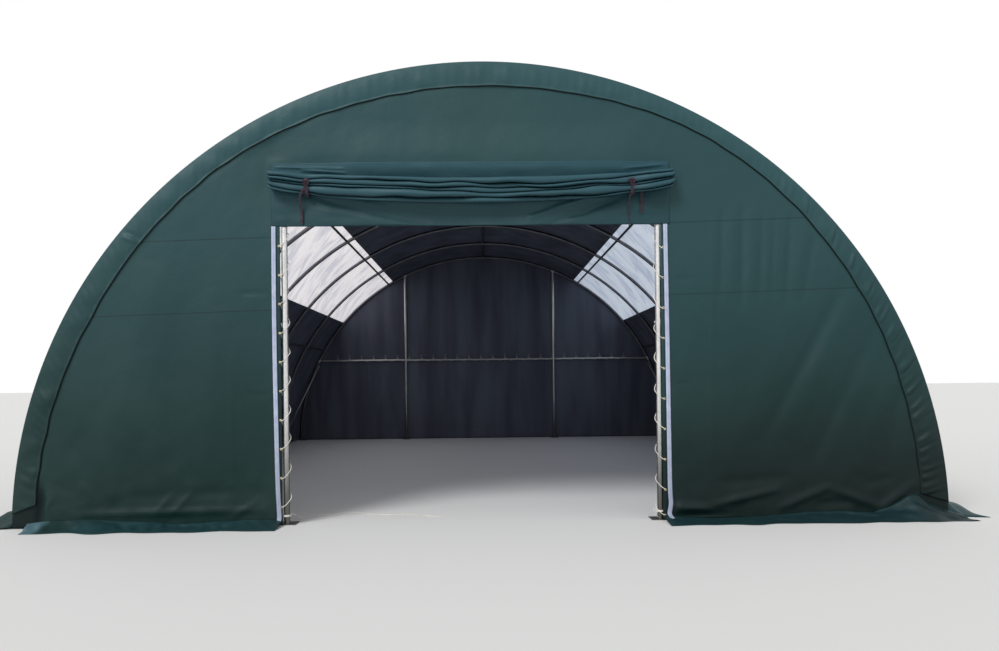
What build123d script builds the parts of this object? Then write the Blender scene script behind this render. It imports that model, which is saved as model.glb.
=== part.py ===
from math import acos, asin, cos, degrees, radians, sin, sqrt, tan
import os

from build123d import *

# Fabric arch building: galvanised tube arches on foot plates, purlins between
# them, a fabric cover with two clear strips, laced end walls and a rolled door.
# Millimetres. X runs across, Y from the door to the back wall, Z up. The origin
# is on the ground under the middle of the building.

# Building
cover_radius = 4650
crown_height = 4575
house_length = 12200
bay_count = 6
cover_thickness = 6
wall_thickness = 5
edge_band_width = 250
edge_band_thickness = 6
hem_tube = 10
skirt_width = 350
skirt_thickness = 4
seat_gap = 0.5
round_seat_gap = 0.3
below_ground = 100

# Clear strips and purlins, in degrees up from the horizontal through the arch centre
clear_strip_low = 40.5
clear_strip_high = 60.5
upper_purlin_angle = 59.0
side_purlin_angle = 30.0

# Steel
arch_tube = 60
purlin_tube = 42
rail_tube = 42
brace_tube = 32
clamp_wall = 6
clamp_length = 80
splice_angles = (22.0, 67.5, 112.5, 158.0)
splice_groove_depth = 1.5
splice_groove_length = 14
foot_plate_width = 160
foot_plate_length = 150
foot_plate_thickness = 8
foot_hole = 14
foot_hole_spacing = 100
foot_hole_inset = 45
plate_margin = 3
plate_skirt_gap = 4
brace_high = 1840
brace_low = 124
brace_overhang = 25
brace_seat_gap = 1.2

# Doorway and end frames
doorway_shift = -110
post_spacing = 3720
post_tube = 60
post_sleeve_wall = 3
post_sleeve_length = 60
post_plate_size = 180
post_hole_spacing = 120
post_hole_inset = 25
rail_height = 1980
header_height = 3300
wall_edge_spacing = 3788
doorway_height = 2950
strip_width = 48
strip_spacing = 3876
face_cloth_thickness = 5

# Rolled door
roll_length = 3980
roll_depth = 190
roll_height = 285
roll_top = 3575
roll_sag = 60
valance_length = 3940
strap_width = 45
strap_thickness = 3
strap_spacing = 3260
strap_tail_width = 30

# Lacing round the door posts and the loose end of its rope
eyelet_count = 10
eyelet_pitch = 285
left_first_turn = 200
right_first_turn = 145
lacing_rope = 8
lacing_slant = 45
tie_turns = 3
tie_height = 80
tie_lead = 80

# Worked out from the sizes above
arch_z = crown_height - cover_radius
cover_inside = cover_radius - cover_thickness
arch_radius = cover_inside - seat_gap - arch_tube / 2
purlin_radius = cover_inside - seat_gap - purlin_tube / 2
brace_radius = arch_radius - arch_tube / 2 - brace_seat_gap - brace_tube / 2
wall_radius = cover_inside - seat_gap
front_y = -house_length / 2
wall_front_y = front_y + edge_band_thickness
first_arch_y = wall_front_y + wall_thickness + seat_gap + clamp_wall + arch_tube / 2
bay_length = -2 * first_arch_y / bay_count
arch_ys = [first_arch_y + bay_length * n for n in range(bay_count + 1)]
ends = {"front": 1, "back": -1}
sides = {"left": -1, "right": 1}
post_xs = {name: doorway_shift + side * post_spacing / 2 for name, side in sides.items()}
edge_xs = {name: doorway_shift + side * wall_edge_spacing / 2 for name, side in sides.items()}
sleeve_radius = post_tube / 2 + post_sleeve_wall
clamp_turn = degrees(clamp_length / arch_radius)


def across(y):
    """The upright plane across the building at y, seen from the front."""
    return Plane.XZ.offset(-y)


def height_on(radius, x):
    """Height at x of a circle of that radius round the arch centre."""
    return arch_z + sqrt(radius**2 - x**2)


def half_width_on(radius, z):
    """Half width at height z of a circle of that radius round the arch centre."""
    return sqrt(radius**2 - (z - arch_z) ** 2)


def angle_on(radius, z):
    """Angle at which a circle of that radius round the arch centre is at height z."""
    return degrees(asin((z - arch_z) / radius))


def section_plane(radius, angle, y):
    """The plane square to an arch of that radius, at an angle along it."""
    turn = radians(angle)
    middle = (radius * cos(turn), y, arch_z + radius * sin(turn))
    return Plane(origin=middle, x_dir=(cos(turn), 0, sin(turn)), z_dir=(-sin(turn), 0, cos(turn)))


def arch_axis(y):
    """The axis that the arch at y bends about."""
    return Axis((0, y, arch_z), (0, -1, 0))


rail_angle = angle_on(arch_radius, rail_height)
low_end = min(angle_on(radius, -below_ground) for radius in (cover_radius, cover_radius - edge_band_width))


def ring_slice(outer, inner, low, high):
    """A slice of a ring round the arch centre, drawn in the open sketch."""
    with BuildLine() as outline:
        far = CenterArc((0, arch_z), outer, low, high - low)
        near = CenterArc((0, arch_z), inner, low, high - low)
        Line(far @ 0, near @ 0)
        Line(far @ 1, near @ 1)
    make_face(outline.line)


def add_saddle(angle, y):
    """A cradle under the arch tube at that angle, in the open part, and room for the tube."""
    with BuildSketch(section_plane(arch_radius, angle - clamp_turn / 2, y)) as cradle:
        Circle(arch_tube / 2 + clamp_wall)
        with Locations((arch_tube, 0)):
            Rectangle(2 * arch_tube, 2 * arch_tube, mode=Mode.SUBTRACT)
    revolve(cradle.sketch, axis=arch_axis(y), revolution_arc=clamp_turn)
    with BuildSketch(section_plane(arch_radius, angle - clamp_turn, y)) as room:
        Circle(arch_tube / 2 + round_seat_gap)
    room_turn = 2 * clamp_turn
    revolve(room.sketch, axis=arch_axis(y), revolution_arc=room_turn, mode=Mode.SUBTRACT)


def save(name, built):
    """Label a finished piece and write it."""
    built.part.label = name
    export_step(built.part, "parts/" + name + ".step")


os.makedirs("parts", exist_ok=True)

# Arches: one bent tube each, necked where its lengths join, with a plate under
# each foot. The end arches carry their plates inward, clear of the end walls.
skirt_inside = half_width_on(cover_inside, skirt_thickness)
plate_x = skirt_inside - plate_skirt_gap - foot_plate_width / 2
plate_shift = foot_plate_length / 2 - arch_tube / 2 - plate_margin
plate_ys = list(arch_ys)
plate_ys[0] += plate_shift
plate_ys[-1] -= plate_shift
groove_turn = degrees(splice_groove_length / arch_radius)
arch_low = angle_on(arch_radius, -below_ground)
for number, (y, plate_y) in enumerate(zip(arch_ys, plate_ys), start=1):
    with BuildPart() as arch:
        with BuildSketch(section_plane(arch_radius, arch_low, y)):
            Circle(arch_tube / 2)
        revolve(axis=arch_axis(y), revolution_arc=180 - 2 * arch_low)
        for angle in splice_angles:
            with BuildSketch(section_plane(arch_radius, angle - groove_turn / 2, y)):
                Circle(arch_tube)
                Circle(arch_tube / 2 - splice_groove_depth, mode=Mode.SUBTRACT)
            revolve(axis=arch_axis(y), revolution_arc=groove_turn, mode=Mode.SUBTRACT)
        split(bisect_by=Plane.XY.offset(foot_plate_thickness), keep=Keep.TOP)
        with BuildSketch(Plane.XY):
            with Locations((-plate_x, plate_y), (plate_x, plate_y)):
                Rectangle(foot_plate_width, foot_plate_length)
            for side in sides.values():
                hole_x = side * (plate_x - foot_plate_width / 2 + foot_hole_inset)
                with Locations((hole_x, plate_y)):
                    with GridLocations(1, foot_hole_spacing, 1, 2):
                        Circle(foot_hole / 2, mode=Mode.SUBTRACT)
        extrude(amount=foot_plate_thickness)
    save(f"arch_{number}", arch)

# Purlins: a length of tube in each bay, butted to the arches under the cover
purlin_angles = {
    "ridge_purlin": 90.0,
    "upper_purlin_left": 180 - upper_purlin_angle,
    "upper_purlin_right": upper_purlin_angle,
    "side_purlin_left": 180 - side_purlin_angle,
    "side_purlin_right": side_purlin_angle,
}
purlin_length = bay_length - arch_tube - 2 * round_seat_gap
for name, angle in purlin_angles.items():
    turn = radians(angle)
    middle = (purlin_radius * cos(turn), arch_z + purlin_radius * sin(turn))
    with BuildPart() as purlin:
        for y in arch_ys[:-1]:
            with BuildSketch(across(y + bay_length - arch_tube / 2 - round_seat_gap)):
                with Locations(middle):
                    Circle(purlin_tube / 2)
            extrude(amount=purlin_length)
    save(name, purlin)

# Braces: from each end arch at rail height down to the foot of the next arch
for end, (near, far) in {"front": (0, 1), "back": (-1, -2)}.items():
    for name, side in sides.items():
        corners = []
        for z, y in ((brace_low, arch_ys[far]), (brace_high, arch_ys[near])):
            corners.append(Vector(side * half_width_on(brace_radius, z), y, z))
        along = (corners[1] - corners[0]).normalized()
        with BuildPart() as brace:
            with BuildSketch(Plane(origin=corners[0] - along * brace_overhang, z_dir=along)):
                Circle(brace_tube / 2)
            extrude(amount=(corners[1] - corners[0]).length + 2 * brace_overhang)
        save(f"brace_{end}_{name}", brace)

# Posts: upright tubes with a foot plate, a sleeve for the rails and a saddle
# that carries the end arch
for end, y, inward in (("door_post", arch_ys[0], 1), ("back_post", arch_ys[-1], -1)):
    for name, x in post_xs.items():
        post_plate_y = y + inward * ((post_plate_size - post_tube) / 2 - plate_margin)
        with BuildPart() as post:
            with BuildSketch(Plane.XY.offset(foot_plate_thickness)):
                with Locations((x, y)):
                    Circle(post_tube / 2)
            extrude(amount=height_on(arch_radius, x) - foot_plate_thickness)
            with BuildSketch(Plane.XY.offset(rail_height - post_sleeve_length / 2)):
                with Locations((x, y)):
                    Circle(sleeve_radius)
            extrude(amount=post_sleeve_length)
            add_saddle(degrees(acos(x / arch_radius)), y)
            with BuildSketch(Plane.XY):
                with Locations((x, post_plate_y)):
                    Rectangle(post_plate_size, post_plate_size)
                hole_y = post_plate_y + inward * (post_plate_size / 2 - post_hole_inset)
                with Locations((x, hole_y)):
                    with GridLocations(post_hole_spacing, 1, 2, 1):
                        Circle(foot_hole / 2, mode=Mode.SUBTRACT)
            extrude(amount=foot_plate_thickness)
        save(f"{end}_{name}", post)


def add_rail(start, stop, z, y, hole_radius, hole_xs):
    """A level tube across the building, coped round the uprights at hole_xs."""
    with BuildSketch(Plane.YZ.offset(start)) as section:
        with Locations((y, z)):
            Circle(rail_tube / 2)
    extrude(section.sketch, amount=stop - start)
    with BuildSketch(Plane.XY.offset(z - rail_tube)) as uprights:
        for x in hole_xs:
            with Locations((x, y)):
                Circle(hole_radius + round_seat_gap)
    extrude(uprights.sketch, amount=2 * rail_tube, mode=Mode.SUBTRACT)


# Rails: across the end frames at sleeve height, each with a saddle on its arch
rail_end = half_width_on(arch_radius, rail_height)
for name, side in sides.items():
    start, stop = sorted((post_xs[name], side * rail_end))
    with BuildPart() as front_rail:
        add_rail(start, stop, rail_height, arch_ys[0], sleeve_radius, [post_xs[name]])
        add_saddle(90 - side * (90 - rail_angle), arch_ys[0])
    save(f"front_rail_{name}", front_rail)

with BuildPart() as back_rail:
    add_rail(-rail_end, rail_end, rail_height, arch_ys[-1], sleeve_radius, post_xs.values())
    for side in sides.values():
        add_saddle(90 - side * (90 - rail_angle), arch_ys[-1])
save("back_rail", back_rail)

with BuildPart() as door_header:
    add_rail(*post_xs.values(), header_height, arch_ys[0], post_tube / 2, post_xs.values())
save("door_header", door_header)

# Cover: welded lengths of fabric over the arches, with a clear strip each side
cover_slices = {
    "side_cover_right": (low_end, clear_strip_low),
    "skylight_right": (clear_strip_low, clear_strip_high),
    "roof_cover": (clear_strip_high, 180 - clear_strip_high),
    "skylight_left": (180 - clear_strip_high, 180 - clear_strip_low),
    "side_cover_left": (180 - clear_strip_low, 180 - low_end),
}
for name, (low, high) in cover_slices.items():
    with BuildPart() as cover:
        with BuildSketch(across(-front_y - edge_band_thickness)):
            ring_slice(cover_radius, cover_inside, low, high)
        extrude(amount=house_length - 2 * edge_band_thickness)
        split(bisect_by=Plane.XY.offset(skirt_thickness), keep=Keep.TOP)
    save(name, cover)

# Edge bands: the cover turned in over each end wall, with a hem round the cord
band_inside = cover_radius - edge_band_width
for end, side in ends.items():
    outer_y = side * front_y
    inner_y = outer_y + side * edge_band_thickness
    with BuildPart() as edge_band:
        with BuildSketch(across(max(outer_y, inner_y))):
            ring_slice(cover_radius, band_inside, low_end, 180 - low_end)
        extrude(amount=edge_band_thickness)
        hem_y = inner_y - side * hem_tube / 2
        with BuildSketch(section_plane(band_inside, low_end, hem_y)):
            Circle(hem_tube / 2)
        revolve(axis=arch_axis(hem_y), revolution_arc=180 - 2 * low_end)
        split(bisect_by=Plane.XY.offset(skirt_thickness), keep=Keep.TOP)
    save(f"{end}_edge_band", edge_band)


def wall_face(left_x, right_x, bottom):
    """The part of an end wall between two uprights and above bottom, in the open sketch."""
    span = right_x - left_x
    with Locations((0, arch_z)):
        Circle(wall_radius)
    with Locations((left_x + span / 2, bottom + wall_radius)):
        Rectangle(span, 2 * wall_radius, mode=Mode.INTERSECT)


# End walls: flat fabric behind the edge bands, the front one open at the doorway
wall_spans = {
    "front_wall_left": (-cover_radius, edge_xs["left"], skirt_thickness),
    "front_wall_right": (edge_xs["right"], cover_radius, skirt_thickness),
    "front_wall_header": (edge_xs["left"], edge_xs["right"], doorway_height),
}
for name, (left_x, right_x, bottom) in wall_spans.items():
    with BuildPart() as front_wall:
        with BuildSketch(across(wall_front_y + wall_thickness)):
            wall_face(left_x, right_x, bottom)
        extrude(amount=wall_thickness)
    save(name, front_wall)

with BuildPart() as back_wall:
    with BuildSketch(across(-wall_front_y)):
        wall_face(-cover_radius, cover_radius, skirt_thickness)
    extrude(amount=wall_thickness)
save("back_wall", back_wall)

# Webbing strips down the sides of the doorway, and the valance above it
for name, side in sides.items():
    with BuildPart() as door_strip:
        with BuildSketch(across(wall_front_y)):
            strip_rise = doorway_height - skirt_thickness
            with Locations((doorway_shift + side * strip_spacing / 2, skirt_thickness)):
                Rectangle(strip_width, strip_rise, align=(Align.CENTER, Align.MIN))
        extrude(amount=face_cloth_thickness)
    save(f"door_strip_{name}", door_strip)

with BuildPart() as door_valance:
    with BuildSketch(across(wall_front_y)):
        with Locations((doorway_shift, doorway_height)):
            Rectangle(valance_length, roll_top - doorway_height, align=(Align.CENTER, Align.MIN))
    extrude(amount=face_cloth_thickness)
save("door_valance", door_valance)

# Rolled door: a flattened roll that sags a little, held up by two straps
valance_y = wall_front_y - face_cloth_thickness
roll_y = valance_y - strap_thickness - 2 * round_seat_gap - roll_depth / 2
roll_low_z = roll_top - roll_height / 2 - roll_sag
roll_bend = ((roll_length / 2) ** 2 + roll_sag**2) / (2 * roll_sag)
roll_axis = Axis((doorway_shift, roll_y, roll_low_z + roll_bend), (0, -1, 0))
roll_turn = 2 * degrees(asin(roll_length / 2 / roll_bend))


def roll_plane(angle):
    """The plane square to the roll, at an angle from its middle about its bend."""
    turn = radians(angle)
    middle_x = doorway_shift + roll_bend * sin(turn)
    middle_z = roll_low_z + roll_bend * (1 - cos(turn))
    return Plane(
        origin=(middle_x, roll_y, middle_z), x_dir=(0, 1, 0), z_dir=(cos(turn), 0, sin(turn))
    )


with BuildPart() as rolled_door:
    with BuildSketch(roll_plane(-roll_turn / 2)):
        Ellipse(roll_depth / 2, roll_height / 2)
    revolve(axis=roll_axis, revolution_arc=roll_turn)
save("rolled_door", rolled_door)

strap_turn = degrees(strap_width / roll_bend)
strap_inside = (roll_depth / 2 + round_seat_gap, roll_height / 2 + round_seat_gap)
with BuildPart() as door_straps:
    for side in sides.values():
        strap_angle = side * degrees(asin(strap_spacing / 2 / roll_bend))
        with BuildSketch(roll_plane(strap_angle - strap_turn / 2)):
            Ellipse(strap_inside[0] + strap_thickness, strap_inside[1] + strap_thickness)
            Ellipse(*strap_inside, mode=Mode.SUBTRACT)
        revolve(axis=roll_axis, revolution_arc=strap_turn)
        with BuildSketch(across(valance_y - round_seat_gap)):
            with Locations((doorway_shift + side * strap_spacing / 2, doorway_height)):
                tail_rise = roll_low_z - doorway_height
                Rectangle(strap_tail_width, tail_rise, align=(Align.CENTER, Align.MIN))
        extrude(amount=strap_thickness)
save("door_straps", door_straps)

# Lacing: a slanting turn of rope round the post at each eyelet, and a tie at
# the foot whose last turn on the left post runs off as the loose end
turn_radius = (post_tube / 2 + round_seat_gap + lacing_rope / 2) / cos(radians(lacing_slant))
tie_radius = post_tube / 2 + round_seat_gap + lacing_rope / 2
tie_pitch = lacing_rope + 2 * round_seat_gap
tie_top = tie_height + (tie_turns - 1) * tie_pitch
open_turn = 300
first_turns = {"left": left_first_turn, "right": right_first_turn}
post_y = arch_ys[0]
for name, side in sides.items():
    with BuildPart() as lacing:
        for number in range(eyelet_count):
            z = first_turns[name] + number * eyelet_pitch
            with Locations(Location((post_xs[name], post_y, z), (0, side * lacing_slant, 0))):
                Torus(turn_radius, lacing_rope / 2)
        for number in range(tie_turns):
            z = tie_height + number * tie_pitch
            with BuildSketch(Plane.XZ.offset(-post_y)):
                with Locations((post_xs[name] + tie_radius, z)):
                    Circle(lacing_rope / 2)
            last = number == tie_turns - 1
            upright = Axis((post_xs[name], post_y, z), (0, 0, -1))
            revolve(axis=upright, revolution_arc=open_turn if last else 360)
    save(f"lacing_{name}", lacing)

# Loose end of the lacing rope: down from the left post and along the ground
tail_x = post_xs["left"] + tie_radius
tail_route = [
    (tail_x, post_y, tie_top),
    (tail_x, post_y + tie_lead, tie_top),
    (-1921, -5893, 68),
    (-1908, -5815, 28),
    (-1884, -5730, 4),
    (-1850, -5630, 4),
    (-1790, -5540, 4),
    (-1690, -5478, 4),
    (-1590, -5445, 4),
    (-1515, -5405, 4),
    (-1445, -5350, 4),
    (-1352, -5395, 4),
    (-1265, -5470, 4),
    (-1165, -5528, 4),
    (-1060, -5575, 4),
    (-950, -5560, 4),
    (-840, -5535, 4),
    (-738, -5585, 4),
    (-640, -5645, 4),
    (-535, -5700, 4),
    (-425, -5710, 4),
]
points = [Vector(*point) for point in tail_route]
runs = [after - before for before, after in zip(points, points[1:])]
bends = []
for before, after in zip(runs, runs[1:]):
    half_turn = radians(before.get_angle(after)) / 2
    bends.append(0.45 * min(before.length, after.length) / tan(half_turn))
print("rope end: radii", [round(bend) for bend in bends])
with BuildPart() as rope_end:
    with BuildLine() as tail_line:
        FilletPolyline(*points, radius=bends)
    with BuildSketch(Plane(origin=tail_line.line @ 0, z_dir=tail_line.line % 0)):
        Circle(lacing_rope / 2)
    sweep()
rope_length = sum(edge.length for edge in tail_line.edges())
print("rope end: length", round(rope_length), "volume", round(rope_end.part.volume))
save("rope_end", rope_end)

# Skirts: flaps of the cover and walls that lie out on the ground
skirt_outside = cover_radius + skirt_width
for name, side in sides.items():
    with BuildPart() as side_skirt:
        with BuildSketch(Plane.XY):
            with Locations((side * (skirt_inside + skirt_outside) / 2, 0)):
                Rectangle(skirt_outside - skirt_inside, house_length)
        extrude(amount=skirt_thickness)
    save(f"skirt_{name}", side_skirt)

skirt_spans = {
    "skirt_front_left": ("front", -skirt_inside, edge_xs["left"]),
    "skirt_front_right": ("front", edge_xs["right"], skirt_inside),
    "skirt_back": ("back", -skirt_inside, skirt_inside),
}
skirt_depth = skirt_width + edge_band_thickness + wall_thickness
for name, (end, left_x, right_x) in skirt_spans.items():
    middle_y = ends[end] * (front_y - skirt_width + skirt_depth / 2)
    with BuildPart() as end_skirt:
        with BuildSketch(Plane.XY):
            with Locations(((left_x + right_x) / 2, middle_y)):
                Rectangle(right_x - left_x, skirt_depth)
        extrude(amount=skirt_thickness)
    save(name, end_skirt)
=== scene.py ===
import bmesh
import bpy
import numpy as np
from mathutils import Matrix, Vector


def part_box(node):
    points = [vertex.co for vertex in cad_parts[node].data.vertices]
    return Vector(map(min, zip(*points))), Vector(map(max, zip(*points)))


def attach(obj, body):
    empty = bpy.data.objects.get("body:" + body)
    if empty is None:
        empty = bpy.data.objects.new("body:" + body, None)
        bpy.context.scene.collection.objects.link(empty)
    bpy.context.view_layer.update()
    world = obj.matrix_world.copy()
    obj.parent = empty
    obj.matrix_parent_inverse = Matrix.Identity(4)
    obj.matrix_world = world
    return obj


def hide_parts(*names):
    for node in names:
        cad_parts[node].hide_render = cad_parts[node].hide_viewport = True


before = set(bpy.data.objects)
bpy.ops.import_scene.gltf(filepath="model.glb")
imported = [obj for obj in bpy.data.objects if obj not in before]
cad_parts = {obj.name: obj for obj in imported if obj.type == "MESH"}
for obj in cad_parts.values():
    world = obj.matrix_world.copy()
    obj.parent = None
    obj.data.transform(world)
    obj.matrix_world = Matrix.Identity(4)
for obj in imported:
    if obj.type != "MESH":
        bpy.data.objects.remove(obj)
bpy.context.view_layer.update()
scene = bpy.context.scene
scene.view_settings.view_transform = "Standard"

# Camera: at eye height in front of the doorway, turned a little to the right and held
# a little askew, with its frame shifted up to take in the crown.
picture_width = 999
focal_pixels = 796.0
eye = (0.003, -13.995, 1.387)
pixels_above_axis = 57.2
lens = bpy.data.cameras.new("camera")
lens.sensor_width = 36
lens.lens = focal_pixels / picture_width * lens.sensor_width
lens.shift_y = pixels_above_axis / picture_width
camera = bpy.data.objects.new("camera", lens)
heading = Matrix.Rotation(-0.01879, 4, "Z")
level = Matrix.Rotation(np.pi / 2, 4, "X")
askew = Matrix.Rotation(-0.01044, 4, "Z")
camera.matrix_world = Matrix.Translation(eye) @ heading @ level @ askew
scene.collection.objects.link(camera)
scene.camera = camera


# Studio: a pale floor under a white sky, and one broad lamp from the front left. The
# sky shows white to the eye and in gloss, and lights the building at a lower level.
class Wire:
    """A socket in a node tree. An expression on wires and numbers adds its Math nodes."""

    def __init__(self, tree, socket=None):
        self.tree = tree
        self.socket = socket

    def node(self, kind, settings=None, sockets=None, output=0):
        """Add a node: its settings first, then its sockets' values or wires."""
        made = self.tree.nodes.new("ShaderNode" + kind)
        for name, value in (settings or {}).items():
            setattr(made, name, value)
        for key, value in (sockets or {}).items():
            if isinstance(value, Wire):
                self.tree.links.new(value.socket, made.inputs[key])
            else:
                made.inputs[key].default_value = value
        return Wire(self.tree, made.outputs[output])

    def math(self, operation, *values):
        return self.node("Math", {"operation": operation}, dict(enumerate(values)))

    def mix(self, low, high):
        """The colour between low and high that this wire chooses."""
        return self.node("Mix", {"data_type": "RGBA"}, {0: self, 6: low, 7: high}, output=2)

    def between(self, low, high):
        """0 below low, 1 above high, and a smooth step between them."""
        limits = {"Value": self, "From Min": low, "From Max": high}
        return self.node("MapRange", {"interpolation_type": "SMOOTHSTEP"}, limits)

    def spot(self):
        """Where a point is on the building, in its own axes."""
        return self.node("TexCoord", output="Object")

    def flat(self):
        """Where a point is on the cloth when it is spread flat."""
        return self.node("UVMap", {"uv_map": "cloth"})

    def parts(self, axes):
        """This vector wire along each of the named axes."""
        return [self.node("SeparateXYZ", {}, {"Vector": self}, output=axis) for axis in axes]

    def noise(self, scale, detail, **more):
        """Cloudy noise at the places on this wire."""
        sockets = {"Vector": self, "Scale": scale, "Detail": detail, **more}
        return self.node("TexNoise", {}, sockets)

    def weave(self, across, along):
        """Ribs both ways at these places: sin(2 pi u / across) sin(2 pi v / along)."""
        u, v = self.parts("XY")
        ribs = self.math("SINE", u * (2 * np.pi / across))
        return ribs * self.math("SINE", v * (2 * np.pi / along))

    def bump(self, distance, **more):
        """The normal of a surface that this wire raises, by up to a distance."""
        return self.node("Bump", {}, {"Height": self, "Distance": distance, **more})

    def __add__(self, other):
        return self.math("ADD", self, other)

    def __sub__(self, other):
        return self.math("SUBTRACT", self, other)

    def __rsub__(self, other):
        return self.math("SUBTRACT", other, self)

    def __mul__(self, other):
        return self.math("MULTIPLY", self, other)

    __radd__ = __add__
    __rmul__ = __mul__


def colour(red, green, blue):
    """A linear colour from the 0 to 255 numbers of a display."""
    display = np.array([red, green, blue]) / 255
    linear = np.where(display > 0.04045, ((display + 0.055) / 1.055) ** 2.4, display / 12.92)
    return (*(float(value) for value in linear), 1.0)


def new_material(name, **constants):
    """A material, a wire to hang its nodes on, and its shader with these constants set."""
    made = bpy.data.materials.new(name)
    made.use_nodes = True
    shader = made.node_tree.nodes["Principled BSDF"]
    for socket, value in constants.items():
        shader.inputs[socket.replace("_", " ")].default_value = value
    return made, Wire(made.node_tree), shader


def feed(shader, socket, wire):
    """Link a wire to a shader's socket."""
    wire.tree.links.new(wire.socket, shader.inputs[socket])


sky_light = 0.55
sky = bpy.data.worlds.new("studio_sky")
sky.use_nodes = True
scene.world = sky
start = Wire(sky.node_tree)
seen = start.node("LightPath", output="Is Camera Ray")
for ray in ("Is Glossy Ray", "Is Transmission Ray"):
    seen = seen.math("MAXIMUM", seen, start.node("LightPath", output=ray))
background = sky.node_tree.nodes["Background"]
background.inputs["Color"].default_value = (1, 1, 1, 1)
feed(background, "Strength", sky_light + (1 - sky_light) * seen)

lamp = bpy.data.lights.new("broad_lamp", "SUN")
lamp.energy = 1.75
lamp.angle = 0.45
broad_lamp = bpy.data.objects.new("broad_lamp", lamp)
broad_lamp.matrix_world = Matrix.Rotation(-0.62, 4, "Z") @ Matrix.Rotation(0.85, 4, "X")
scene.collection.objects.link(broad_lamp)

floor_size = 400.0
floor_drop = 0.001
corners = np.array([(-1, -1), (1, -1), (1, 1), (-1, 1)]) * floor_size / 2
floor_mesh = bpy.data.meshes.new("floor")
floor_mesh.from_pydata([(x, y, -floor_drop) for x, y in corners], [], [(0, 1, 2, 3)])
floor = bpy.data.objects.new("floor", floor_mesh)
scene.collection.objects.link(floor)
floor_paint, _, _ = new_material("pale_floor", Roughness=0.9, Base_Color=(0.8, 0.8, 0.79, 1))
floor_mesh.materials.append(floor_paint)

# Loose rope end: the spare end of the left lacing, a limp 8 mm laid rope that runs off
# the tie at the post's foot, drops to the ground and lies there in shallow waves.
house_length = 12.2
front = -house_length / 2
post_line = front + 0.0475
post_tube = 0.060
left_post, right_post = -1.970, 1.750
tail_rope = 0.008
tail_start = (-1.9357, post_line, 0.0972)
tail_route = [
    tail_start,
    (-1.9357, -5.9725, 0.0972),
    (-1.921, -5.893, 0.068),
    (-1.908, -5.815, 0.028),
]
tail_waves = [
    (-1.884, -5.730), (-1.850, -5.630), (-1.790, -5.540), (-1.690, -5.478), (-1.590, -5.445),
    (-1.515, -5.405), (-1.445, -5.350), (-1.352, -5.395), (-1.265, -5.470), (-1.165, -5.528),
    (-1.060, -5.575), (-0.950, -5.560), (-0.840, -5.535), (-0.738, -5.585), (-0.640, -5.645),
    (-0.535, -5.700), (-0.425, -5.710),
]
tail_route += [(x, y, tail_rope / 2) for x, y in tail_waves]


def spline_points(route):
    """Points along the smooth line that a route's points pull into shape."""
    line = bpy.data.curves.new("route", "CURVE")
    line.dimensions = "3D"
    line.resolution_u = 24
    spline = line.splines.new("NURBS")
    spline.points.add(len(route) - 1)
    for point, place in zip(spline.points, route):
        point.co = (*place, 1)
    spline.order_u = 3
    spline.use_endpoint_u = True
    holder = bpy.data.objects.new("route", line)
    traced = bpy.data.meshes.new_from_object(holder)
    places = np.array([vertex.co for vertex in traced.vertices], float)
    bpy.data.objects.remove(holder)
    bpy.data.curves.remove(line)
    bpy.data.meshes.remove(traced)
    return places


def corners_of(grid):
    """The four corners of each cell of a grid, in order round it."""
    return np.stack([grid[:-1, :-1], grid[:-1, 1:], grid[1:, 1:], grid[1:, :-1]], 2)


def joined(*parts):
    """One array of points from arrays of their coordinates."""
    return np.stack(np.broadcast_arrays(*parts), -1)


def add_piece(name, grids, materials, uvs=(), solid=False, merge=0.0):
    """A piece through grids of points, rows by columns, with their uv maps in metres.

    A solid's columns go right round it and are joined up, and its faces are turned
    outward. Points nearer than merge become one.
    """
    faces, count = [], 0
    for grid in grids:
        rows, columns = grid.shape[:2]
        index = count + np.arange(rows * columns).reshape(rows, columns)
        if solid:
            index = np.hstack([index, index[:, :1]])
        faces.append(corners_of(index).reshape(-1, 4))
        count += rows * columns
    mesh = bpy.data.meshes.new(name)
    places = np.concatenate([grid.reshape(-1, 3) for grid in grids])
    mesh.from_pydata(places.tolist(), [], np.concatenate(faces).tolist())
    if uvs:
        corner_uv = np.concatenate([corners_of(uv).reshape(-1, 2) for uv in uvs])
        layer = mesh.uv_layers.new(name="cloth")
        layer.data.foreach_set("uv", corner_uv.astype(np.float32).ravel())
    shell = bmesh.new()
    shell.from_mesh(mesh)
    if merge:
        bmesh.ops.remove_doubles(shell, verts=shell.verts, dist=merge)
    if solid:
        bmesh.ops.recalc_face_normals(shell, faces=shell.faces)
    shell.to_mesh(mesh)
    shell.free()
    mesh.shade_smooth()
    for material in materials:
        mesh.materials.append(material)
    piece = bpy.data.objects.new(name, mesh)
    scene.collection.objects.link(piece)
    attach(piece, "root")
    return piece


def resample(path, step):
    """A path's points again, the same step apart all along it."""
    run = np.concatenate([[0], np.linalg.norm(np.diff(path, axis=0), axis=1).cumsum()])
    along = np.linspace(0, run[-1], max(int(run[-1] / step), 8))
    return np.stack([np.interp(along, run, path[:, axis]) for axis in range(3)], 1), along


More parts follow.
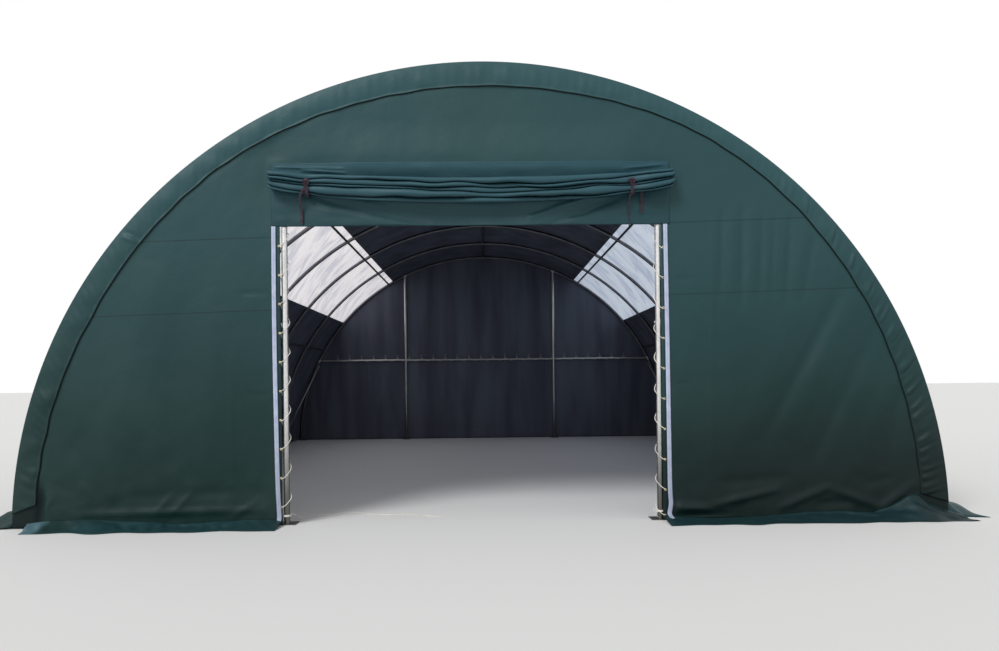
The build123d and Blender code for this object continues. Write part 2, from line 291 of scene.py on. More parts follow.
def laid_rope(name, path, diameter, material, stands_for="", lay=2.6, sides=12):
    """A three-strand rope along a path, in place of the node that it stands for.

    Its outline is a circle times 0.8 + 0.2 |cos(1.5 angle)|, which is three rounds that
    touch, turned once in `lay` diameters along the path, with its ends drawn shut.
    """
    centre, along = resample(path, 0.45 * diameter)
    tangent = np.gradient(centre, axis=0)
    tangent /= np.linalg.norm(tangent, axis=1, keepdims=True)
    side = np.cross(tangent, (0.08, 0.13, 1.0))
    side /= np.linalg.norm(side, axis=1, keepdims=True)
    up = np.cross(tangent, side)
    angle = np.linspace(0, 2 * np.pi, sides, endpoint=False)
    turn = angle + along[:, None] * 2 * np.pi / (lay * diameter)
    radius = diameter / 2 * (0.8 + 0.2 * np.abs(np.cos(1.5 * turn)))
    radius[[0, -1]] *= 0.01
    spokes = np.cos(angle)[:, None] * side[:, None] + np.sin(angle)[:, None] * up[:, None]
    points = centre[:, None] + radius[..., None] * spokes
    around = np.linspace(0, np.pi * diameter, sides + 1)
    uv = joined(along[:, None], around)
    piece = add_piece(name, [points], [material], [uv], solid=True, merge=0.0002)
    if stands_for:
        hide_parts(stands_for)
    return piece


rope_paint, start, shader = new_material("laid_rope", Roughness=0.85)
flat = start.flat()
fibre, soil = flat.noise(700.0, 2.0), flat.noise(6.0, 3.0)
clean, soiled = colour(246, 244, 238), colour(216, 211, 200)
feed(shader, "Base Color", (fibre * 0.5 + soil * 0.5).between(0.62, 0.38).mix(clean, soiled))
feed(shader, "Normal", fibre.bump(0.0006))

tail_path = spline_points(tail_route)
rope_end = laid_rope("rope_end_laid", tail_path, tail_rope, rope_paint, "rope_end")

# Lacing: the same 8 mm rope, laced through brass eyelets in the wall's edge and loosely
# round each door post, one eyelet to a turn, and tied in close turns round its foot.
lacing_rope = 0.008
eyelet_heights = {
    "left": 0.180 + 0.2865 * np.arange(10),
    "right": np.array([0.050, 0.305, *(0.607 + 0.302 * np.arange(8))]),
}
eyelet_off = (0.044, 0.052)
eyelet_hole, eyelet_rim, eyelet_lip = 0.0045, 0.0075, 0.0026
rope_slack = 0.010
tie_low, tie_high, tie_turns = 0.0800, 0.0972, 3
rope_gap = 0.0003


def laced_line(reach, core, stations, slack=0.0):
    """Centre line of a rope laced round a bar, as (run along the bar, towards, beside).

    A turn starts at an eyelet, `reach` from the bar's axis. It goes straight to the bar,
    where its distance is core / cos(angle left to the point of touch), round at `core`,
    and back. It stands off by `slack` where it turns back, a bell 0.8 radians wide round
    2.3. It climbs from each eyelet's station to the next one's, less on the way out than
    back, and half a turn past the last.
    """
    turns = len(stations) - 0.5
    angle = np.linspace(0, 2 * np.pi * turns, int(90 * turns))
    near = np.sqrt(((angle + np.pi) % (2 * np.pi) - np.pi) ** 2 + 0.02)
    distance = core / np.cos(np.clip(np.arccos(core / reach) - near, 0, None))
    distance += slack * np.exp(-((angle % (2 * np.pi) - 2.3) ** 2) / 0.64)
    stations = np.append(stations, 2 * stations[-1] - stations[-2])
    turn = (angle - 0.25 * np.sin(angle)) / (2 * np.pi)
    run = np.interp(turn, range(len(stations)), stations)
    return run, distance * np.cos(angle), distance * np.sin(angle)


def turned(line, angle):
    """A laced line's last two parts turned by an angle, so that it starts towards it."""
    run, towards, beside = line
    cosine, sine = np.cos(angle), np.sin(angle)
    return run, towards * cosine - beside * sine, towards * sine + beside * cosine


def round_axis(facing, radius, turn, rise):
    """Points round the way that something faces, at a radius and a turn, and a rise along it."""
    facing = np.array(facing, float) / np.linalg.norm(facing)
    across = np.cross(facing, (0.0, 0.0, 1.0) if abs(facing[2]) < 0.9 else (1.0, 0.0, 0.0))
    across /= np.linalg.norm(across)
    points = joined(radius * np.cos(turn), radius * np.sin(turn), rise)
    return (points[..., :1] * across + points[..., 1:2] * np.cross(facing, across)
            + points[..., 2:] * facing)


def add_eyelets(name, centres):
    """Brass eyelets at a list of centres, facing the front.

    Each is a flat tube bent round a circle: hole + rim (1 - cos) / 2 from its middle and
    lip times sin out of its face.
    """
    tube = np.linspace(0, 2 * np.pi, 8, endpoint=False)
    turn = np.linspace(0, 2 * np.pi, 21)[:, None]
    radius = eyelet_hole + eyelet_rim * (1 - np.cos(tube)) / 2
    shape = round_axis((0, -1, 0), radius, turn, eyelet_lip * np.sin(tube))
    add_piece(name, [shape + centre for centre in centres], [brass], solid=True, merge=1e-5)


brass, start, shader = new_material("brass", Metallic=1.0)
tarnish = start.spot().noise(60.0, 3.0)
feed(shader, "Base Color", tarnish.mix(colour(232, 220, 182), colour(196, 182, 140)))
feed(shader, "Roughness", 0.25 + 0.35 * tarnish)

eyelet_direction = np.arctan2(-eyelet_off[1], -eyelet_off[0])
eyelet_reach = float(np.hypot(*eyelet_off))
post_core = post_tube / 2 + rope_gap + lacing_rope / 2
for name, post_x, side in (("left", left_post, 1), ("right", right_post, -1)):
    heights = eyelet_heights[name]
    line = laced_line(eyelet_reach, post_core, heights, rope_slack)
    run, out_x, out_y = turned(line, eyelet_direction)
    uneven = 0.006 * np.sin(run * 9.1 + side) + 0.004 * np.sin(run * 23.0)
    laced = joined(post_x + side * out_x, post_line + out_y, run + uneven)
    turn = np.linspace(0, 2 * np.pi * tie_turns, 90)
    tie = joined(post_x + side * post_core * np.cos(turn), post_line + post_core * np.sin(turn),
                 np.interp(turn, [0, turn[-1]], [tie_low, tie_high]))
    rise = np.linspace(0, 1, 30)
    turn, off = np.radians(150 * rise), 1 + 0.1 * rise
    leg = joined(post_x + side * post_core * np.cos(turn) * off,
                 post_line + post_core * np.sin(turn) * off,
                 tie_high + 0.010 + rise * (heights[0] - tie_high - 0.03))
    for part, path in (("laid", np.vstack([leg, laced])), ("tie", tie)):
        laid_rope(f"lacing_{name}_{part}", path, lacing_rope, rope_paint, f"lacing_{name}")
    eyelet_x = post_x - side * eyelet_off[0]
    add_eyelets(f"eyelets_{name}", [(eyelet_x, front + 0.004, height) for height in heights])

bight = [(1.722, -6.075, 0.030), (1.702, -6.092, 0.048), (1.684, -6.098, 0.085),
         (1.664, -6.098, 0.112), (1.676, -6.096, 0.124), (1.694, -6.094, 0.100),
         (1.708, -6.092, 0.082), (1.722, -6.086, 0.080)]
laid_rope("lacing_right_bight", spline_points(bight), lacing_rope, rope_paint, "lacing_right")

# Steel frame: bent and straight galvanised tubes, bare, with the dull mottled grey of
# zinc, and zinc plated bolts through the clamps, sleeves and foot plates.
def galvanised(name, bright, dull):
    """Zinc coated steel: faint spangles, cloudy, and darker towards the foot."""
    paint, start, shader = new_material(name, Metallic=1.0)
    spot = start.spot()
    spangle = start.node("TexVoronoi", {}, {"Vector": spot, "Scale": 55.0}, output="Color")
    flake = start.node("SeparateColor", {}, {"Color": spangle}, output="Red")
    cloud = spot.noise(5.0, 4.0)
    (z,) = spot.parts("Z")
    shade = (flake * 0.2 + cloud * 0.8).between(0.25, 0.75).mix(dull, bright)
    # Darker towards the foot, below 1.3 m.
    feed(shader, "Base Color", (z.between(1.3, 0.15) * 0.9).mix(shade, colour(80, 80, 76)))
    feed(shader, "Roughness", 0.26 + 0.14 * cloud + 0.04 * flake)
    return paint


zinc = galvanised("galvanised_tube", colour(232, 231, 228), colour(206, 206, 206))
# A darker copy of the zinc for the arches, the purlins and the bolts on them: painted shade of the
# dim inside.
shaded_zinc = galvanised("galvanised_arch", colour(128, 129, 134), colour(104, 106, 112))
for name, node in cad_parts.items():
    # The arches and purlins take the darker copy, which is painted shade.
    dull = name.startswith("arch_") or "purlin" in name
    if dull or any(part in name for part in ("_post_", "brace_", "_rail", "door_header")):
        node.data.materials.clear()
        node.data.materials.append(shaded_zinc if dull else zinc)


def bolt_heads(name, bolts, material, across_flats):
    """Hexagon heads on washers, from a list of their places and the ways they face.

    Each ring of a head is a hexagon or a circle, whose radius and rise follow a profile
    from the washer's rim over the flats to the middle of the top.
    """
    turn = np.linspace(0, 2 * np.pi, 12, endpoint=False)
    flat = across_flats / 2
    hexagon = flat / np.cos((turn + np.pi / 6) % (np.pi / 3) - np.pi / 6)
    washer = np.full(12, 1.9 * flat)
    radii = np.stack([0.01 * washer, washer, washer, hexagon, hexagon, 0.9 * hexagon,
                      0.01 * hexagon])
    rises = np.array([0.0, 0.0, 0.15, 0.15, 0.85, 1.0, 1.0])[:, None] * bolt_height
    heads = [place + round_axis(facing, radii, turn, rises) for place, facing in bolts]
    piece = add_piece(name, heads, [material], solid=True, merge=0.0005)
    piece.data.shade_flat()


bolt_height = 0.010
arch_tube = 0.060
arch_radius, arch_centre = 4.6135, -0.075
bay_count = 6
arch_lines = np.linspace(post_line, -post_line, bay_count + 1)
inner_radius = arch_radius - arch_tube / 2
splice_angles = np.radians([22.0, 67.5, 112.5, 158.0])
splice_turn = 0.014
purlin_lines = np.radians([30.0, 59.0, 90.0, 121.0, 150.0])
bolts = []
for angle in (*(splice_angles - splice_turn), *(splice_angles + splice_turn), *purlin_lines):
    inward = -np.array([np.cos(angle), 0.0, np.sin(angle)])
    bolts += [(-inner_radius * inward + (0.0, y, arch_centre), inward) for y in arch_lines]
bolt_heads("arch_bolts", bolts, shaded_zinc, across_flats=0.017)

sleeve_reach, saddle_reach = 0.033, 0.036
rail_z = 1.980
rail_end = np.sqrt(arch_radius**2 - (rail_z - arch_centre) ** 2)
bolts = []
for y, inward in ((post_line, 1), (-post_line, -1)):
    saddle_y, facing = y + inward * saddle_reach, (0, inward, 0)
    for x in (left_post, right_post):
        to_middle = -np.sign(x)
        if inward == 1:
            bolts.append(((x + to_middle * sleeve_reach, y, rail_z), (to_middle, 0, 0)))
        else:
            bolts.append(((x, y - sleeve_reach, rail_z), facing))
        crown_z = arch_centre + np.sqrt(arch_radius**2 - x**2)
        bolts.append(((x, saddle_y, crown_z - 0.008), facing))
    for side in (-1, 1):
        bolts.append(((side * (rail_end - 0.006), saddle_y, rail_z - 0.002), facing))
bolts.append(((right_post - 0.012, post_line - post_tube / 2 + 0.0025, 0.640), (-0.4, -0.92, 0)))
bolt_heads("frame_bolts", bolts, zinc, across_flats=0.019)

# Cover: lengths of coated green fabric welded together and pulled over the arches. It
# lies on the arches and purlins and sags a little in each panel between them.
cover_radius = 4.650
bay = -2 * post_line / bay_count
panel_edges = np.array([0.0, *purlin_lines, np.pi])
clear_strip = np.radians([40.5, 60.5])
panel_sag = 0.012
cloth_thickness = 0.002
edge_setback = 0.006


def ripple(u, v, length, seed, stretch=1.0, waves=11):
    """Soft uneven relief, about -1 to 1: a sum of plane waves near that length.

    Their directions and phases are drawn from the seed, and they are `stretch` times
    longer along v.
    """
    draw = np.random.default_rng(seed)
    heading = draw.uniform(0, np.pi, waves)
    number = 2 * np.pi / (length * draw.uniform(0.7, 1.6, waves))
    phase = draw.uniform(0, 2 * np.pi, waves)
    run = np.multiply.outer(u, number * np.cos(heading))
    run = run + np.multiply.outer(v / stretch, number * np.sin(heading))
    return np.sin(run + phase).sum(-1) / np.sqrt(waves)


def step(low, high, value):
    """0 below low, 1 above high, 3 t t - 2 t t t between."""
    part = np.clip((value - low) / (high - low), 0, 1)
    return part * part * (3 - 2 * part)


def folds(u, v, lines):
    """Relief of single folds, each (u and v of its start, of its end, width, height).

    A fold is a bell exp(-(distance / width)^2) across its line, times the square root
    of the sine of the part run along it, so that it fades at both ends.
    """
    relief = np.zeros(np.broadcast(u, v).shape)
    for start_u, start_v, end_u, end_v, width, height in lines:
        run_u, run_v = end_u - start_u, end_v - start_v
        length = np.hypot(run_u, run_v)
        part = ((u - start_u) * run_u + (v - start_v) * run_v) / length**2
        off = ((u - start_u) * run_v - (v - start_v) * run_u) / length
        fade = np.sqrt(np.sin(np.pi * np.clip(part, 0, 1)))
        relief += height * np.exp(-((off / width) ** 2)) * fade
    return relief


def flat_places(points):
    """Where a cloth's points lie when it is spread flat: the run along rows and columns."""
    steps = np.linalg.norm(np.diff(points, axis=1), axis=2).cumsum(axis=1)
    across = np.hstack([np.zeros((len(points), 1)), steps])
    steps = np.linalg.norm(np.diff(points, axis=0), axis=2).cumsum(axis=0)
    along = np.vstack([np.zeros((1, points.shape[1])), steps])
    return np.stack([across, along], -1)


def coated_cloth(name, low, high, low_z, high_z, roughness, seams=(), slope=0.0, hem_shadow=0.0,
                 tints=(), pleat_shade=False):
    """Coated fabric: a fine scrim, a slight crinkle, patchy sheen and welded seams.

    Its colour goes from low to high over that range of heights: partly dust, and partly a
    painted sheen and shade of the light from above. A seam is a darker line at a height, on a
    slope across the wall. A strip along the cloth's first edge is dark: a painted shadow by the
    hem cord.
    A tint is a soft patch of another tone, with the x and the z between which it sets in,
    its strength and its colour, or dark; the dark tints here are painted shade. In a pleated
    cloth v is the part of each pleat, and the lower half of a pleat is dark: painted shade
    under the pleats.
    """
    paint, start, shader = new_material(name, Specular_IOR_Level=0.22)
    spot, flat = start.spot(), start.flat()
    x, z = spot.parts("XZ")
    u, v = flat.parts("XY")
    patches, crinkle = spot.noise(0.55, 5.0, Roughness=0.55), spot.noise(7.0, 4.0)
    specks = start.node("TexVoronoi", {}, {"Vector": spot, "Scale": 2.6}, output="Distance")
    # From low to high over the heights given: partly dust, partly a painted sheen and shade of the
    # light from above.
    shade = (z + 1.4 * patches - 0.7).between(low_z, high_z).mix(low, high)
    shade = (patches.between(0.42, 0.72) * 0.25).mix(shade, colour(54, 76, 72))
    shade = (specks.between(0.012, 0.004) * 0.5).mix(shade, colour(120, 140, 140))
    dark = tuple(0.35 * part for part in low[:3]) + (1.0,)
    for seam in seams:
        line = start.math("ABSOLUTE", z + slope * x - seam)
        shade = (line.between(0.007, 0.002) * 0.5).mix(shade, dark)
    # A tint with no tone of its own is dark: painted shade.
    for from_x, full_x, from_z, full_z, strength, tone in tints:
        amount = x.between(from_x, full_x) * z.between(from_z, full_z) * strength
        shade = amount.mix(shade, tone or dark)
    # Painted shadow of the hem cord: a dark strip along the band's first edge.
    if hem_shadow:
        shade = u.between(hem_shadow + 0.004, hem_shadow).mix(shade, dark)
    # Painted shade: the lower half of each pleat is darkened.
    if pleat_shade:
        shade = (v.between(0.48, 0.74) * 0.72).mix(shade, dark)
    feed(shader, "Base Color", shade)
    feed(shader, "Roughness", roughness + 0.16 * (patches - 0.5) + 0.10 * (crinkle - 0.5))
    scrim = flat.weave(0.004, 0.004).bump(0.00006)
    feed(shader, "Normal", crinkle.bump(0.006, Normal=scrim))
    return paint


green_low, green_high = colour(18, 48, 46), colour(40, 71, 74)
green_outside = coated_cloth("green_cover_outside", green_low, green_high, 0.2, 3.2, 0.50)
dark_inside, start, shader = new_material("dark_cover_inside", Roughness=0.6,
                                          Specular_IOR_Level=0.2)
spot = start.spot()
(z,) = spot.parts("Z")
streaks = start.node("Mapping", {}, {"Vector": spot, "Scale": (2.6, 2.6, 0.35)}).noise(1.0, 4.0)
shade = streaks.between(0.24, 0.76).mix(colour(82, 84, 100), colour(106, 115, 128))
feed(shader, "Base Color", (z.between(1.4, 0.0) * 0.25).mix(shade, colour(70, 68, 78)))


def on_arch(radius, angle, y):
    """Points at a radius and angle round the arches' centre line, at y along the building."""
    return joined(radius * np.cos(angle), y, arch_centre + radius * np.sin(angle))


def add_cloth(name, grids, paint, stands_for=None, inside=dark_inside,
              merge=0.0, thickness=cloth_thickness, uvs=None):
    """A sheet of cloth through grids of points that share edges, its thickness inward.

    It stands for the nodes listed, or else for the one that its name begins with. Where
    inside is None, it has the same paint on both faces.
    """
    uvs = uvs or [flat_places(grid) for grid in grids]
    faces = [paint, inside] if inside else [paint]
    piece = add_piece(name, grids, faces, uvs, merge=merge)
    solid = piece.modifiers.new("thickness", "SOLIDIFY")
    solid.thickness = thickness
    solid.offset = -1
    solid.material_offset = len(faces) - 1
    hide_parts(*(stands_for or [name.removesuffix("_cloth")]))


ground_angle = np.arcsin((0.004 - arch_centre) / cover_radius)
cover_length = house_length - 2 * edge_setback


def add_cover(name, low, high, paint, inside, spacing, wrinkle, seed):
    """A length of the cover between two angles, from the front edge to the back edge.

    Radius = the arches' outside, less the sag: 4 t (1 - t) across a bay times 4 s (1 - s)
    from purlin to purlin, and a little ripple there.
    """
    rows = int((high - low) * cover_radius / spacing) + 1
    columns = int(cover_length / spacing) + 1
    angle = np.linspace(low, high, rows)[:, None]
    y = np.linspace(-cover_length / 2, cover_length / 2, columns)[None, :]
    bay_part = np.clip((y - post_line) / bay, 0, bay_count) % 1
    panel_part = np.interp(angle, panel_edges, range(len(panel_edges))) % 1
    slack = 4 * bay_part * (1 - bay_part) * 4 * panel_part * (1 - panel_part)
    fine = ripple(cover_radius * angle, y, 0.30, seed, stretch=0.6)
    radius = cover_radius - panel_sag * slack + wrinkle * fine * (0.2 + slack)
    add_cloth(f"{name}_cloth", [on_arch(radius, angle, y)], paint,
              inside=inside)


for name, low, high in (
    ("side_cover_right", ground_angle, clear_strip[0]),
    ("roof_cover", clear_strip[1], np.pi - clear_strip[1]),
    ("side_cover_left", np.pi - clear_strip[0], np.pi - ground_angle),
):
    add_cover(name, low, high, green_outside, dark_inside, spacing=0.056,
              wrinkle=0.0015, seed=1)

# Clear strips: milky coated fabric let into the cover on both sides, from front to back,
# wrinkled between the arches. Inside they have a painted glow: an emission that stands in
# for the daylight that they let through.
milky, start, shader = new_material("clear_strip_outside", Roughness=0.38)
cloud = start.spot().noise(2.2, 5.0)
feed(shader, "Base Color",
     cloud.between(0.3, 0.7).mix(colour(206, 214, 216), colour(228, 232, 232)))
feed(shader, "Normal", cloud.bump(0.01))

# Painted glow: the inside gives off light by emission.
painted_glow, start, shader = new_material("clear_strip_inside", Roughness=0.5, Emission_Strength=0.78)
(x,) = start.spot().parts("X")
u, v = start.flat().parts("XY")
away = v * start.math("SIGN", x)
slant = start.node("CombineXYZ", {}, {"X": (u + away) * 2.4, "Y": (u - away) * 0.35, "Z": u * 0.9})
crease = slant.noise(1.5, 2.5, Distortion=0.9)
# Painted light in the glow: cooler and dimmer to the right, and lighter and darker along the
# creases.
warm_to_cool = x.between(-2.5, 2.5).mix(colour(247, 244, 244), colour(204, 214, 226))
lit = crease.between(0.34, 0.58).mix(colour(216, 218, 226), colour(248, 247, 248))
tinted = start.node("Mix", {"data_type": "RGBA", "blend_type": "MULTIPLY"},
                    {0: 1.0, 6: warm_to_cool, 7: lit}, output=2)
feed(shader, "Base Color", tinted)
feed(shader, "Emission Color", tinted)
feed(shader, "Normal", crease.bump(0.03))

for name, low, high in (
    ("skylight_right", clear_strip[0], clear_strip[1]),
    ("skylight_left", np.pi - clear_strip[1], np.pi - clear_strip[0]),
):
    add_cover(name, low, high, milky, painted_glow, spacing=0.040, wrinkle=0.003,
              seed=5)

# Front wall: one green cloth behind the edge band, cut out for the doorway. Welded seams
# cross it, it hangs in soft folds, and it puckers at the right where the band pulls it.
wall_radius = 4.6435
wall_face = front + 0.006
wall_foot = 0.004
doorway_top = 2.950
left_edge, right_edge = -2.004, 1.770
low_corner, high_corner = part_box("door_valance")
front_folds = [
    (-2.49, 1.70, -2.50, 0.25, 0.018, 0.006),
    (-4.39, 0.00, -4.40, 0.50, 0.050, -0.055),
    (-4.36, 0.15, -4.25, 0.29, 0.022, 0.014),
    (-4.42, 0.56, -4.24, 0.26, 0.060, 0.012),
    (-4.24, 0.44, -4.02, 0.34, 0.050, -0.009),
    (-3.99, 0.44, -3.84, 0.28, 0.050, 0.009),
    (-4.30, 0.12, -3.45, 0.38, 0.060, 0.006),
    (-4.42, 0.30, -3.90, 1.00, 0.080, -0.006),
    (-3.75, 0.30, -3.25, 2.60, 0.200, 0.016),
    (-3.10, 0.35, -2.95, 2.50, 0.140, -0.012),
    (-2.75, 0.35, -2.62, 2.60, 0.120, 0.010),
    (-4.10, 0.13, -2.15, 0.16, 0.035, 0.018),
    (-3.24, 0.14, -3.08, 0.33, 0.020, 0.012),
    (-3.09, 0.12, -2.88, 0.35, 0.022, 0.014),
    (-2.54, 0.06, -2.22, 0.26, 0.030, 0.012),
    (-3.60, 0.30, -2.20, 0.34, 0.060, -0.010),
    (-2.40, 2.30, -2.10, 2.29, 0.012, -0.010),
    (-2.35, 1.30, -2.10, 1.29, 0.012, -0.010),
    (1.84, 2.41, 2.10, 2.40, 0.012, -0.010),
    (1.84, 1.37, 2.08, 1.36, 0.012, -0.010),
    (2.29, 3.05, 2.26, 0.25, 0.016, 0.008),
    (2.39, 3.10, 2.37, 2.20, 0.030, -0.014),
    (2.60, 3.15, 2.58, 2.10, 0.032, -0.016),
    (2.80, 3.10, 2.76, 2.15, 0.028, -0.014),
    (2.92, 3.05, 2.88, 2.25, 0.022, -0.011),
    (3.09, 3.10, 3.02, 2.10, 0.034, -0.016),
    (3.34, 2.95, 3.20, 2.15, 0.032, -0.012),
    (2.49, 3.10, 2.48, 2.20, 0.038, 0.009),
    (2.70, 3.10, 2.67, 2.20, 0.038, 0.009),
    (3.22, 3.00, 3.12, 2.20, 0.038, 0.008),
    (3.66, 2.40, 2.74, 0.72, 0.070, -0.022),
    (3.74, 2.25, 3.02, 0.80, 0.120, 0.018),
    (3.99, 2.02, 3.22, 0.48, 0.080, -0.022),
    (4.15, 1.60, 3.72, 0.45, 0.100, 0.017),
    (4.16, 1.30, 4.01, 0.45, 0.045, -0.014),
    (3.15, 2.15, 2.45, 0.55, 0.110, 0.013),
    (1.82, 0.130, 2.26, 0.108, 0.040, 0.036),
    (1.86, 0.05, 2.50, 0.05, 0.032, -0.016),
    (2.26, 0.14, 2.98, 0.31, 0.032, 0.024),
    (2.30, 0.36, 3.10, 0.42, 0.050, -0.012),
    (2.92, 0.10, 3.46, 0.32, 0.035, 0.022),
    (3.38, 0.32, 3.96, 0.10, 0.035, 0.020),
    (3.30, 0.14, 3.70, 0.16, 0.040, -0.014),
    (3.92, 0.06, 4.32, 0.36, 0.045, 0.026),
    (3.80, 0.34, 4.10, 0.40, 0.045, -0.012),
]


def half_width(radius, z):
    """Half the width at a height of a circle of that radius round the arch centre."""
    return np.sqrt(np.maximum(radius**2 - (z - arch_centre) ** 2, 0))


def wall_relief(x, z, lines, seed):
    """How far an end wall stands out: its folds and two ripples, flat under the band.

    One ripple is broad and upright, and the other is short and grows towards the foot.
    """
    radius = np.hypot(x, z - arch_centre)
    broad = 0.006 * ripple(x, z, 0.75, seed, stretch=3.0)
    short = 0.0024 * ripple(x, z, 0.22, seed + 1, stretch=1.5) * (0.3 + step(1.0, 0.2, z))
    relief = folds(x, z, lines) + broad + short
    return np.clip(relief * (1 - step(4.36, 4.44, radius)), -0.050, 0.032)


def undercut(x, z):
    """How far the cloth over the rolled door stands out before it goes in behind it."""
    across = step(-1.80, -0.95, x) * step(1.72, 1.30, x)
    return 0.036 * across * step(3.39, 3.53, z) * step(4.00, 3.62, z)


def front_grid(x, z):
    """Points of the front wall: flat along the doorway and pulled in behind the valance."""
    relief = wall_relief(x, z, front_folds, seed=21)
    by_door = np.minimum(np.abs(x - left_edge), np.abs(x - right_edge))
    relief = relief * np.where(z < doorway_top, step(0.0, 0.12, by_door), 1)
    hidden = step(low_corner.x - 0.08, low_corner.x, x)
    for high, value in ((high_corner.x, x), (high_corner.z, z)):
        hidden = hidden * step(high + 0.08, high, value)
    y = wall_face - relief * (1 - hidden) + 0.003 * hidden - undercut(x, z)
    return joined(x, y, z)


def top_of_wall(x):
    """Height of the front wall's top at x."""
    return arch_centre + np.sqrt(wall_radius**2 - x**2)


top_steps = np.linspace(0, 1, 46)[:, None]
low_z = np.linspace(wall_foot, doorway_top, 114)[:, None]
columns = np.linspace(0, 1, 102)[None, :]
patches = []
for edge in (left_edge, right_edge):
    z = np.vstack([low_z, doorway_top + top_steps[1:] * (top_of_wall(edge) - doorway_top)])
    rim = np.sign(edge) * half_width(wall_radius, z)
    left, right = (rim, edge) if edge < 0 else (edge, rim)
    patches.append(front_grid(left + (right - left) * columns, z))
x = np.linspace(left_edge, right_edge, 146)[None, :]
patches.append(front_grid(x, doorway_top + top_steps * (top_of_wall(x) - doorway_top)))
# Painted shade: the wall and the band darker low on the right.
low_right_shade = (0.2, 2.8, 1.7, 0.2, 0.84, None)
# Painted shade: dark in the wall's lower corners, by the band.
corner_hollow_shade = [(-4.30, -4.42, 0.50, 0.25, 0.95, None), (4.26, 4.38, 0.50, 0.25, 0.95, None)]
front_cloth = coated_cloth("green_front_wall", colour(14, 43, 41), colour(40, 72, 76), 0.1, 3.2,
                           0.50, seams=(2.19, 2.91), slope=-0.03,
                           tints=[low_right_shade, *corner_hollow_shade])
add_cloth("front_wall_cloth", patches, front_cloth,
          ["front_wall_left", "front_wall_right", "front_wall_header"], merge=0.0005)

# Back wall: the same cloth in one piece, laced to the back rail through eyelets. It lies
# flat along the row of eyelets, and stays outside the posts and the rail.
eyelet_rise = (0.037, 0.110)
back_folds = [
    (-3.20, 0.30, -2.90, 3.00, 0.120, 0.010),
    (-2.30, 0.30, -2.20, 3.70, 0.100, -0.010),
    (-1.10, 0.30, -1.40, 3.90, 0.150, 0.012),
    (-0.30, 0.30, 0.10, 2.00, 0.100, 0.012),
    (0.35, 0.30, 0.80, 2.00, 0.070, -0.012),
    (1.30, 0.30, 1.10, 4.10, 0.140, 0.010),
    (2.40, 0.30, 2.20, 3.60, 0.110, -0.010),
    (3.40, 0.30, 3.00, 2.80, 0.130, 0.012),
    (-3.90, 0.28, 3.90, 0.24, 0.040, 0.012),
]
z = np.linspace(wall_foot, arch_centre + wall_radius, 96)[:, None]
x = half_width(wall_radius, z) * np.linspace(1, -1, 186)[None, :]
back_relief = np.maximum(wall_relief(x, z, back_folds, seed=33), -0.006)
back_y = -wall_face + back_relief * (1 - np.exp(-(((z - rail_z - eyelet_rise[1]) / 0.12) ** 4)))
back_cloth = coated_cloth("green_back_wall", colour(16, 46, 44), colour(41, 73, 77), 0.1, 3.2,
                          0.50, seams=(1.30, 2.70))
add_cloth("back_wall_cloth", [joined(x, back_y, z)], back_cloth,
          merge=0.0005)

rail_tube = 0.042
rail_core = rail_tube / 2 + rope_gap + lacing_rope / 2
rail_eyelets = -3.68 + 0.30 * np.arange(25)
line = laced_line(float(np.hypot(*eyelet_rise)), rail_core, rail_eyelets)
run, out_y, out_z = turned(line, float(np.arctan2(eyelet_rise[1], eyelet_rise[0])))
rail_lacing = joined(run, -post_line + out_y, rail_z + out_z)
laid_rope("back_rail_lacing", rail_lacing, lacing_rope, rope_paint, sides=9)
add_eyelets("back_wall_eyelets",
            [(x, -wall_face - 0.001, rail_z + eyelet_rise[1]) for x in rail_eyelets])

# Edge bands: the cover's edge turned in over each end wall, gathered on a hem cord that
# draws it into puckers. It bellies a little between the corner and the cord.
# Its first edge carries a painted shadow by the hem cord.
band_cloth = coated_cloth("green_edge_band", colour(14, 43, 41), colour(47, 82, 87), 0.2, 4.0,
                          0.46, hem_shadow=0.030, tints=[low_right_shade])
hem_cord = 0.008
hem_degrees = [2, 6, 16, 26, 36, 46, 56, 63, 71, 79, 88, 104, 116, 126, 136, 150, 163, 178]
front_hem = [4.380, 4.382, 4.402, 4.430, 4.450, 4.474, 4.490, 4.488, 4.458, 4.426, 4.410, 4.408,
             4.434, 4.446, 4.434, 4.411, 4.422, 4.428]
back_hem = [4.41, 4.42, 4.40, 4.43, 4.42, 4.40, 4.42, 4.43, 4.42, 4.41, 4.42, 4.41, 4.43, 4.42,
            4.40, 4.42, 4.43, 4.41]
corner_radius, band_outside = 0.012, 4.6525
band_belly = 0.012


